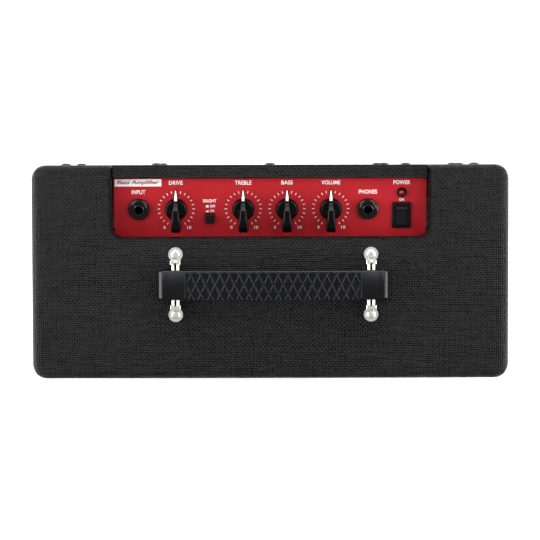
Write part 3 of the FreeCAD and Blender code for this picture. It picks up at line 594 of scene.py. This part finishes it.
def print_words(text, x, v, height, width, paint=ink, lift=ink_lift, slant=0.0, weight=0.018):
    """Lettering on the panel, centred on x and v, as high and as wide as given."""
    bpy.ops.object.select_all(action="DESELECT")
    bpy.ops.object.text_add()
    words = bpy.context.active_object
    words.data.body = text
    words.data.align_x = "CENTER"
    words.data.align_y = "CENTER"
    words.data.resolution_u = 3
    words.data.offset = weight
    words.data.shear = slant
    bpy.ops.object.convert(target="MESH")
    words = bpy.context.active_object
    xs = [p.co.x for p in words.data.vertices]
    ys = [p.co.y for p in words.data.vertices]
    scale_x = width / (max(xs) - min(xs))
    scale_y = height / (max(ys) - min(ys))
    centre = Vector(((max(xs) + min(xs)) / 2, (max(ys) + min(ys)) / 2, 0.0))
    words.data.transform(Matrix.Translation(-centre))
    words.data.transform(Matrix.Diagonal((scale_x, scale_y, 1.0, 1.0)))
    words.data.transform(Matrix.Translation((x, v, lift)))
    words.data.materials.append(paint.material)
    ink_pieces.append(words)


def print_patch(corners):
    """A filled shape of ink with the given corners, as (x, v), anticlockwise."""
    bpy.ops.object.select_all(action="DESELECT")
    bpy.ops.mesh.primitive_circle_add(vertices=len(corners), radius=0.001, fill_type="NGON")
    patch = settled("patch")
    face = patch.data.polygons[0]
    for index, (x, v) in zip(face.vertices, corners):
        patch.data.vertices[index].co = (x, v, ink_lift)
    patch.data.materials.append(ink.material)
    ink_pieces.append(patch)


label_v = 0.0216
jack_label_v = 0.0139
label_height = 0.0034
digit_v = -0.0154
digit_height = 0.0025
zero_out = 0.0096
zero_width = 0.0017
ten_out = 0.0102
ten_width = 0.0033
tick_inner = 0.0130
tick_outer = 0.0149
tick_half = 0.00027
tick_count = 21
scale_end = 150.0
for name, width in (("drive", 0.011), ("treble", 0.0132), ("bass", 0.0092), ("volume", 0.015)):
    x = knob_x[name]
    print_words(name.upper(), x, label_v, label_height, width)
    for i in range(tick_count):
        angle = math.radians(scale_end * (2.0 * i / (tick_count - 1) - 1.0))
        out = Vector((math.sin(angle), math.cos(angle)))
        wide = Vector((math.cos(angle), -math.sin(angle))) * tick_half
        inner = out * tick_inner + Vector((x, 0.0))
        outer = out * tick_outer + Vector((x, 0.0))
        print_patch([inner - wide, inner + wide, outer + wide, outer - wide])
    print_words("0", x - zero_out, digit_v, digit_height, zero_width)
    print_words("10", x + ten_out, digit_v, digit_height, ten_width)
input_x = panel_x("input_jack")
phones_x = panel_x("phones_jack")
bright_x = panel_x("bright_button")
power_x = panel_x("power_led")
# the other words: x, v, height, width
other_words = [
    ("POWER", power_x, label_v, label_height, 0.0134),
    ("INPUT", input_x, jack_label_v, label_height, 0.011),
    ("PHONES", phones_x, jack_label_v, label_height, 0.0146),
    ("BRIGHT", bright_x, 0.0066, 0.0027, 0.0107),
    ("OFF", bright_x + 0.0022, 0.0022, 0.0022, 0.0042),
    ("ON", bright_x + 0.0018, -0.0016, 0.0022, 0.0032),
    ("ON", power_x, 0.0073, 0.0023, 0.0038),
]
for words_row in other_words:
    print_words(*words_row)
# the button's two small signs, raised for off and low for on: lowest and highest v
sign_x = bright_x - 0.00195
sign_foot = 0.00125
sign_head = 0.00085
for low, high in ((0.0012, 0.0031), (-0.0026, -0.0014)):
    foot = [(sign_x - sign_foot, low), (sign_x + sign_foot, low)]
    head = [(sign_x + sign_head, high), (sign_x - sign_head, high)]
    print_patch(foot + head)
plate_low = -0.1237
plate_high = -0.0865
plate_half = 0.00295
print_patch(
    [
        (plate_low, label_v - plate_half),
        (plate_high, label_v - plate_half),
        (plate_high, label_v + plate_half),
        (plate_low, label_v + plate_half),
    ]
)
plate_x = (plate_low + plate_high) / 2
plate_text_height = 0.0041
plate_text_width = 0.0335
print_words(
    "Bass Amplifier",
    plate_x,
    label_v,
    plate_text_height,
    plate_text_width,
    paint=red_ink,
    lift=2.5 * ink_lift,
    slant=0.25,
    weight=0.025,
)
take(ink_pieces[0])
for piece in ink_pieces:
    piece.select_set(True)
bpy.ops.object.join()
lettering = bpy.context.active_object
lettering.name = "panel_lettering"
lettering.data.transform(on_panel)
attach(lettering, "root")

# Knobs: moulded phenolic pointers. A round skirt carries a tall fin that steps down to a
# narrow pointer, and a white line is filled into the pointer's top.
knob_plastic = Paint("phenolic", (0.001, 0.001, 0.0012), 0.24, Specular_IOR_Level=0.13)
dust = knob_plastic.mottle(knob_plastic.place(), 700.0, 3.0)
knob_plastic.feed("Roughness", 0.2 + dust * 0.12)
knob_plastic.bump(dust, 0.00003)
white_fill = Paint("white_filler", (0.9, 0.9, 0.88), 0.4)
white_fill.bump(white_fill.mottle(white_fill.place(), 1500.0), 0.00003)
skirt_radius = 0.0089
skirt_low = 0.0007
skirt_high = 0.0054
skirt_shoulder = 0.0024
skirt_foot_round = 0.0003
hub_radius = 0.0036
hub_low = 0.004
hub_cover = 0.0006
hub_round = 0.0005
hollow_radius = 0.0074
hollow_low = -0.001
hollow_high = 0.0034
fin_base = 0.0038
# along the fin: v, half width, height of the top
fin_stations = [
    (-0.0163, 0.0028, 0.0120),
    (-0.0159, 0.0035, 0.0140),
    (-0.0151, 0.0039, 0.0153),
    (-0.0130, 0.0038, 0.0164),
    (-0.0080, 0.0034, 0.0176),
    (-0.0020, 0.0029, 0.0180),
    (0.0026, 0.0025, 0.0172),
    (0.0032, 0.0024, 0.0166),
    (0.0060, 0.0020, 0.0112),
    (0.0066, 0.0018, 0.0104),
    (0.0088, 0.0014, 0.0088),
    (0.0112, 0.0015, 0.0079),
    (0.0140, 0.0013, 0.0070),
    (0.0166, 0.0009, 0.0061),
    (0.0170, 0.0006, 0.0052),
]
# across the fin: share of the height, share of the half width
fin_section = [(0.0, 1.16), (0.3, 1.05), (0.9, 0.94), (0.97, 0.86), (1.0, 0.68)]


def drawn(name, rows):
    """A bar drawn out along v from a plane end, one ring of corners after another.

    The first circle and each extrusion only make the corners, which then go to their places.
    """
    bpy.ops.object.select_all(action="DESELECT")
    bpy.ops.mesh.primitive_circle_add(vertices=len(rows[0]), radius=0.004, fill_type="NGON")
    bar = settled(name)
    take(bar)
    bpy.ops.object.mode_set(mode="EDIT")
    bpy.ops.mesh.select_all(action="SELECT")
    for row, ring in enumerate(rows):
        if row:
            bpy.ops.mesh.extrude_region_move(TRANSFORM_OT_translate={"value": (0.0, 0.001, 0.0)})
        form = bmesh.from_edit_mesh(bar.data)
        face = [f for f in form.faces if f.select][0]
        for corner, place in zip(face.verts, ring):
            corner.co = place
        bmesh.update_edit_mesh(bar.data)
    bpy.ops.mesh.select_all(action="SELECT")
    bpy.ops.mesh.normals_make_consistent(inside=False)
    return close(bar)


def knob_fin():
    """The fin and the pointer in one bar, from the tail to the tip."""
    rows = []
    for v, half, top in fin_stations:
        right = [(half * k, v, fin_base + (top - fin_base) * h) for h, k in fin_section]
        left = [(-x, y, z) for x, y, z in reversed(right)]
        rows.append(right + left)
    return drawn("fin", rows)


# along the white line: v, half width, height of the pointer under it
line_stations = [
    (0.0088, 0.00095, 0.0088),
    (0.0112, 0.00105, 0.0079),
    (0.0140, 0.00065, 0.0070),
    (0.0167, 0.00028, 0.0060),
]
line_sunk = 0.0005
line_proud = 0.00012


def knob_line():
    """The white filling, sunk half a millimetre and just proud of the pointer's top."""
    rows = []
    for v, half, top in line_stations:
        low = top - line_sunk
        high = top + line_proud
        rows.append([(half, v, low), (half, v, high), (-half, v, high), (-half, v, low)])
    return drawn("line_master", rows)


def add_drum(name, radius, low_z, high_z, sides):
    """An upright cylinder about the z axis."""
    bpy.ops.object.select_all(action="DESELECT")
    middle = (0.0, 0.0, (low_z + high_z) / 2)
    depth = high_z - low_z
    bpy.ops.mesh.primitive_cylinder_add(vertices=sides, radius=radius, depth=depth, location=middle)
    return settled(name)


def corners_above(height):
    """Chooses the outside corners that lie wholly above a height."""
    return lambda e: outside_corner(e) and all(v.co.z > height for v in e.verts)


def corners_below(height):
    """Chooses the outside corners that lie wholly below a height."""
    return lambda e: outside_corner(e) and all(v.co.z < height for v in e.verts)


skirt = add_drum("knob_master", skirt_radius, skirt_low, skirt_high, 72)
round_edges(skirt, corners_above(skirt_high - near), skirt_shoulder, 6)
round_edges(skirt, corners_below(skirt_low + near), skirt_foot_round, 2)
cut(skirt, knob_fin(), "UNION")
shaft_points = frame["nodes"]["drive_shaft"].data.vertices
spindle_top = max((on_panel.inverted() @ vertex.co).z for vertex in shaft_points)
hub = add_drum("hub", hub_radius, hub_low, spindle_top + hub_cover, 40)
round_edges(hub, corners_above(spindle_top), hub_round, 2)
cut(skirt, hub, "UNION")
hollow = add_drum("hollow", hollow_radius, hollow_low, hollow_high, 64)
cut(skirt, hollow)
smooth(skirt, 32.0)
line = knob_line()
for name, x in knob_x.items():
    place = on_panel @ Matrix.Translation((x, 0.0, 0.0))
    body = bpy.data.objects.new(name + "_pointer", skirt.data.copy())
    bpy.context.collection.objects.link(body)
    body.data.transform(place)
    finish_with(body, knob_plastic)
    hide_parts(name + "_knob")
    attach(body, name + "_knob")
    mark = bpy.data.objects.new(name + "_pointer_line", line.data.copy())
    bpy.context.collection.objects.link(mark)
    mark.data.transform(place)
    finish_with(mark, white_fill)
    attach(mark, name + "_knob")
bpy.data.objects.remove(skirt)
bpy.data.objects.remove(line)
spindle = Paint("turned_aluminium", (0.7, 0.7, 0.72), 0.3, Metallic=1.0)
turning_pitch = 0.0004
spindle_z = spindle.axes(spindle.place())[2]
spindle.bump((spindle_z / turning_pitch * math.pi).sine().size(), 0.00003)
for name in knob_x:
    finish_with(frame["nodes"][name + "_shaft"], spindle)

# Jacks, switches and the lamp's bezel: black nylon and ABS, with a satin rocker. Each jack is
# held by a round glossy nut with a flange and a raised collar, and a bead stands round its bore.
nylon = Paint("black_nylon", (0.002, 0.002, 0.0024), 0.4, Specular_IOR_Level=0.22)
grit = nylon.mottle(nylon.place(), 1600.0, 2.0)
nylon.bump(grit, 0.00006)
nylon.feed("Roughness", 0.34 + grit * 0.18)
for name in (
    "input_jack",
    "phones_jack",
    "bright_switch",
    "bright_button",
    "led_bezel",
    "rocker_housing",
    "mains_inlet",
):
    dressed(name, "_moulded", nylon)
finish_with(frame["nodes"]["amplifier_chip"], nylon)


lathe_steps = 64


def lathed(name, outline):
    """A ring turned on a lathe from a closed outline of (radius, height) points."""
    bpy.ops.object.select_all(action="DESELECT")
    bpy.ops.mesh.primitive_circle_add(vertices=len(outline), radius=0.001)
    ring = settled(name)
    for corner, (radius, height) in zip(ring.data.vertices, outline):
        corner.co = (radius, 0.0, height)
    take(ring)
    bpy.ops.object.mode_set(mode="EDIT")
    bpy.ops.mesh.select_all(action="SELECT")
    bpy.ops.mesh.spin(
        steps=lathe_steps,
        angle=2 * math.pi,
        center=(0.0, 0.0, 0.0),
        axis=(0.0, 0.0, 1.0),
    )
    bpy.ops.mesh.select_all(action="SELECT")
    bpy.ops.mesh.remove_doubles(threshold=weld)
    bpy.ops.mesh.normals_make_consistent(inside=False)
    return smooth(close(ring), 25.0)


rocker_face = Paint("satin_rocker", (0.008, 0.008, 0.0085), 0.45, Specular_IOR_Level=0.3)
rocker_grain = rocker_face.mottle(rocker_face.place(), 1700.0, 2.0)
rocker_face.bump(rocker_grain, 0.00005)
rocker_face.feed("Roughness", 0.4 + rocker_grain * 0.15)
dressed("power_rocker", "_moulded", rocker_face)
# radius and height of each corner, from the bore outwards
nut_outline = [
    (0.0056, 0.0001),
    (0.0056, 0.0038),
    (0.0059, 0.0043),
    (0.0064, 0.0044),
    (0.0068, 0.0041),
    (0.0070, 0.0033),
    (0.0075, 0.0033),
    (0.0081, 0.0030),
    (0.0084, 0.0024),
    (0.0085, 0.0001),
]
bead_outline = [
    (0.0033, 0.0046),
    (0.0036, 0.0052),
    (0.0041, 0.0053),
    (0.0045, 0.0050),
    (0.0045, 0.0046),
]
gloss = Paint("black_gloss_nylon", (0.002, 0.002, 0.0024), 0.16, Specular_IOR_Level=0.5)
gloss.feed("Roughness", 0.12 + gloss.mottle(gloss.place(), 900.0) * 0.12)
gloss_cloud = gloss.mottle(gloss.place(), 500.0)
gloss.feed("Base Color", gloss.mixed(gloss_cloud, (0.0015, 0.0015, 0.002), (0.003, 0.003, 0.0034)))
for name, x in (("input", input_x), ("phones", phones_x)):
    for part, outline in (("_jack_nut", nut_outline), ("_jack_bead", bead_outline)):
        ring = lathed(name + part, outline)
        ring.data.transform(on_panel @ Matrix.Translation((x, 0.0, 0.0)))
        finish_with(ring, gloss)
        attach(ring, "root")
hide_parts("jack_nuts")

# Power lamp: a round lens of red diffused plastic, unlit, that stands up out of the middle
# of its black bezel.
lens = Paint("red_lens", (0.32, 0.004, 0.012), 0.12, Transmission_Weight=0.35, IOR=1.5)
lens_cloud = lens.mottle(lens.place(), 700.0)
lens.feed("Base Color", lens.mixed(lens_cloud, (0.3, 0.003, 0.012), (0.4, 0.006, 0.016)))
dressed("power_led", "_lens", lens, 40.0)

# Inside the chassis and on the floor of the box: the board, the amplifier chip on its heat
# sink, three can capacitors and the mains transformer.
laminate = Paint("green_laminate", (0.03, 0.16, 0.06), 0.35)
track_cells = {"Vector": laminate.place(), "Scale": 230.0}
tracks = laminate.node("ShaderNodeTexVoronoi", track_cells, out="Distance")
laminate.feed("Base Color", laminate.mixed(tracks > 0.35, (0.02, 0.12, 0.045), (0.05, 0.22, 0.09)))
finish_with(frame["nodes"]["circuit_board"], laminate)
extrusion = Paint("mill_aluminium", (0.72, 0.72, 0.74), 0.35, Metallic=1.0)
extrusion.bump(extrusion.mottle(extrusion.place(), 400.0, 4.0), 0.0001)
finish_with(frame["nodes"]["heat_sink"], extrusion)
sleeve = Paint("capacitor_sleeve", (0.01, 0.015, 0.06), 0.3)
sleeve.bump(sleeve.mottle(sleeve.place(), 900.0), 0.00005)
finish_with(frame["nodes"]["filter_capacitors"], sleeve)
laminations = Paint("core_laminations", (0.2, 0.2, 0.21), 0.5, Metallic=0.8)
sheet_pitch = 0.0005
lamination_y = laminations.axes(laminations.place())[1]
laminations.bump((lamination_y / sheet_pitch * math.pi).sine().size(), 0.0001)
finish_with(frame["nodes"]["transformer_core"], laminations)
tape = Paint("winding_tape", (0.55, 0.4, 0.06), 0.35)
tape.bump(tape.mottle(tape.place(), 300.0, 3.0), 0.0002)
finish_with(frame["nodes"]["transformer_windings"], tape)

# Handle: a moulded strap with smooth blocks at its ends and a raised diamond lattice on its
# arched middle. Closed loops of wire pass through the blocks and into clips on the top.
strap_low, strap_high = [Vector(corner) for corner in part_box("handle_strap")]
strap_x = (strap_low.x + strap_high.x) / 2
strap_y = (strap_low.y + strap_high.y) / 2
strap_half = (strap_high.x - strap_low.x) / 2
strap_half_y = (strap_high.y - strap_low.y) / 2
strap_rest = strap_low.z
strap_top = strap_high.z
handle_plastic = Paint("handle_vinyl", (0.0012, 0.0014, 0.0024), 0.3, Specular_IOR_Level=0.27)
pores = handle_plastic.mottle(handle_plastic.place(), 1500.0, 2.0)
handle_plastic.bump(pores, 0.00004)
handle_plastic.feed("Roughness", 0.15 + pores * 0.1)
arch_end = strap_half - 0.0065
arch_drop = 0.0085
arch_radius = (arch_end ** 2 + arch_drop ** 2) / (2 * arch_drop)
nose_top = strap_top - arch_drop
nose_tip = 0.2455
nose_bottom = strap_half - 0.0045
under_end = 0.050
under_low = 0.2504
under_high = 0.2518
under_foot = 0.068
lattice_half = 0.0695
lattice_sink = 0.0009
step_width = 0.0003
edge_round = 0.0022


def arch_height(x):
    """Height of the round arch at x from its middle."""
    return strap_top - arch_radius + math.sqrt(arch_radius ** 2 - x ** 2)


def strap_upper(x):
    """Height of the strap's top at x from its middle: the arch, then the round nose."""
    x = abs(x)
    if x <= arch_end:
        return arch_height(x) - (lattice_sink if x < lattice_half - step_width / 2 else 0.0)
    share = min((x - arch_end) / (strap_half - arch_end), 1.0)
    return nose_tip + (nose_top - nose_tip) * math.sqrt(1.0 - share ** 2)


def strap_lower(x):
    """Height of the strap's underside at x from its middle."""
    x = abs(x)
    if x >= nose_bottom:
        share = min((x - nose_bottom) / (strap_half - nose_bottom), 1.0)
        return nose_tip - (nose_tip - strap_rest) * math.sqrt(1.0 - share ** 2)
    if x >= under_foot:
        return strap_rest
    if x >= under_end:
        return under_low + (strap_rest - under_low) * (x - under_end) / (under_foot - under_end)
    return under_high - (under_high - under_low) * (x / under_end) ** 2


# where the strap is divided, from its middle to one end
half_stations = [0.0, 0.006, 0.012, 0.018, 0.024, 0.030, 0.036, 0.042]
half_stations += [under_end, 0.056, 0.062, under_foot]
half_stations += [lattice_half - step_width, lattice_half, 0.073, 0.077, 0.081, arch_end]
for degrees in (12, 24, 36, 48, 58, 68, 77, 84, 90):
    half_stations.append(arch_end + (strap_half - arch_end) * math.sin(math.radians(degrees)))
stations = sorted({round(sign * x, 6) for x in half_stations for sign in (-1, 1)})
strap = add_box(
    "handle_grip",
    (-strap_half, -strap_half_y, strap_rest),
    (strap_half, strap_half_y, strap_top),
)
pick(strap, "EDGE", lambda e: run_along(e, 0) > near)
bpy.ops.mesh.subdivide(number_cuts=len(stations) - 2)
form = bmesh.from_edit_mesh(strap.data)
columns = sorted({round(v.co.x, 5) for v in form.verts})
middle_z = (strap_rest + strap_top) / 2
for corner in form.verts:
    x = stations[columns.index(round(corner.co.x, 5))]
    corner.co.z = strap_upper(x) if corner.co.z > middle_z else strap_lower(x)
    corner.co.x = x
bmesh.update_edit_mesh(strap.data)
close(strap)


def strap_long_edge(edge):
    """The four long corners of the strap."""
    at_side = all(abs(abs(v.co.y) - strap_half_y) < near for v in edge.verts)
    return at_side and run_along(edge, 0) > near


def upper_long_edge(edge):
    """The two of them that lie along the top."""
    middles = [(strap_upper(v.co.x) + strap_lower(v.co.x)) / 2 for v in edge.verts]
    return strap_long_edge(edge) and all(v.co.z > m + near for v, m in zip(edge.verts, middles))


round_edges(strap, upper_long_edge, edge_round, 5)
strap.data.transform(Matrix.Translation((strap_x, strap_y, 0.0)))
smooth(strap, 40.0)
finish_with(strap, handle_plastic)
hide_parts("handle_strap")
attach(strap, "handle")

# Grip of the handle: the arched middle is moulded with thin raised ribs that cross as a
# lattice of diamonds and run down over the long edges, closed at each end by one plain rib.
rib_height = 0.0009
rib_half = 0.00028
end_rib_share = 1.6
diamond_x = 0.0076
diamond_y = 0.0148
rib_across = 1.0 / math.hypot(1.0 / diamond_x, 1.0 / diamond_y)
flat_half = strap_half_y - edge_round
roll_over = edge_round * math.radians(78)
lattice_skirt = 0.0012
columns_x = 620
rows_y = 84
bpy.ops.object.select_all(action="DESELECT")
bpy.ops.mesh.primitive_grid_add(x_subdivisions=columns_x, y_subdivisions=rows_y, size=2)
lattice = settled("handle_lattice")
take(lattice)
bpy.ops.object.mode_set(mode="EDIT")
form = bmesh.from_edit_mesh(lattice.data)
for corner in form.verts:
    x = corner.co.x * lattice_half
    s = corner.co.y * (flat_half + roll_over)
    turn = max(abs(s) - flat_half, 0.0) / edge_round
    y = min(abs(s), flat_half) + edge_round * math.sin(turn)
    drop = edge_round * (1.0 - math.cos(turn))
    rib = math.exp(-(((lattice_half - abs(x)) / (rib_half * end_rib_share)) ** 2))
    for lean_way in (1.0, -1.0):
        phase = x / diamond_x + lean_way * s / diamond_y
        off_line = abs(phase - round(phase)) * rib_across
        rib = max(rib, math.exp(-((off_line / rib_half) ** 2)))
    lift = rib_height * (rib - 1.0)
    side = math.copysign(1.0, s)
    out_y = side * (y + lift * math.sin(turn))
    corner.co = (x, out_y, arch_height(x) - drop + lift * math.cos(turn))
bmesh.update_edit_mesh(lattice.data)
close(lattice)
pick(lattice, "EDGE", lambda e: len(e.link_faces) == 1)
bpy.ops.mesh.extrude_region_move(TRANSFORM_OT_translate={"value": (0.0, 0.0, -lattice_skirt)})
close(lattice)
lattice.data.transform(Matrix.Translation((strap_x, strap_y, 0.0)))
smooth(lattice, 60.0)
finish_with(lattice, handle_plastic)
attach(lattice, "handle")

# Handle hardware: wire loops, pressed clips and pan head screws, all bright nickel plate on
# steel. The screws go through the clips into the top of the cabinet.
nickel = Paint("bright_nickel", (0.97, 0.94, 0.88), 0.25, Metallic=1.0)
haze = nickel.mottle(nickel.place(), 500.0, 3.0)
nickel.feed("Roughness", 0.24 + haze * 0.14)
for name in ("handle_links", "handle_brackets", "handle_screws"):
    dressed(name, "_plated", nickel)

# The camera hangs over the rear edge of the top and looks almost straight down at the
# controls. The light is a white tent with long soft boxes standing to the left, the right
# and the rear, and a smaller one high on each side.
top_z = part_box("top_board")[1][2]
camera_distance = 1.6
camera_y = 0.085
aim_y = 0.0016
camera_turn = -0.15
picture_width = 0.4272
tent_strength = 0.44

camera_data = bpy.data.cameras.new("camera")
camera_data.sensor_width = 36.0
camera_data.lens = camera_data.sensor_width * camera_distance / picture_width
camera = bpy.data.objects.new("camera", camera_data)
camera.location = (0.0, camera_y, top_z + camera_distance)
lean = math.atan2(camera_y - aim_y, camera_distance)
camera.rotation_euler = (-lean, 0.0, math.radians(camera_turn))
bpy.context.collection.objects.link(camera)
bpy.context.scene.camera = camera
bpy.context.scene.view_settings.view_transform = "Standard"


def soft_box(name, place, aim_at, width, height, power):
    """A rectangular studio light turned to a point on the object."""
    data = bpy.data.lights.new(name, "AREA")
    data.shape = "RECTANGLE"
    data.size = width
    data.size_y = height
    data.energy = power
    lamp = bpy.data.objects.new(name, data)
    lamp.location = place
    lamp.rotation_euler = (Vector(aim_at) - Vector(place)).to_track_quat("-Z", "Y").to_euler()
    bpy.context.collection.objects.link(lamp)


aim = (0.0, 0.0, 0.2)
# place, point aimed at, width, height, watts
soft_box("light_left", (-1.15, 0.1, 0.55), aim, 1.5, 0.9, 29.0)
soft_box("light_right", (1.15, 0.1, 0.55), aim, 1.5, 0.9, 25.0)
soft_box("light_rear", (0.0, 1.3, 0.6), aim, 1.8, 0.6, 24.0)
soft_box("light_high_left", (-1.0, 0.55, 1.85), aim, 0.8, 0.7, 8.0)
soft_box("light_high_right", (1.0, 0.55, 1.85), aim, 0.8, 0.7, 8.0)

world = bpy.data.worlds.new("studio")
world.use_nodes = True
tent = world.node_tree.nodes["Background"]
tent.inputs["Color"].default_value = (1.0, 1.0, 1.0, 1.0)
tent.inputs["Strength"].default_value = tent_strength
bpy.context.scene.world = world

# Stage: a pale sheet that the object stands on. It glows a little, as cloth does in a tent
# that is lit from outside.
bpy.ops.object.select_all(action="DESELECT")
bpy.ops.mesh.primitive_plane_add(size=6.0, location=(0.0, 0.0, cad_box[0][2]))
sheet = settled("studio_sheet")
sheet_white = Paint("studio_white", (0.95, 0.95, 0.95), 0.9)
sheet_white.shader.inputs["Emission Color"].default_value = (1.0, 1.0, 1.0, 1.0)
sheet_white.shader.inputs["Emission Strength"].default_value = 0.25
finish_with(sheet, sheet_white)
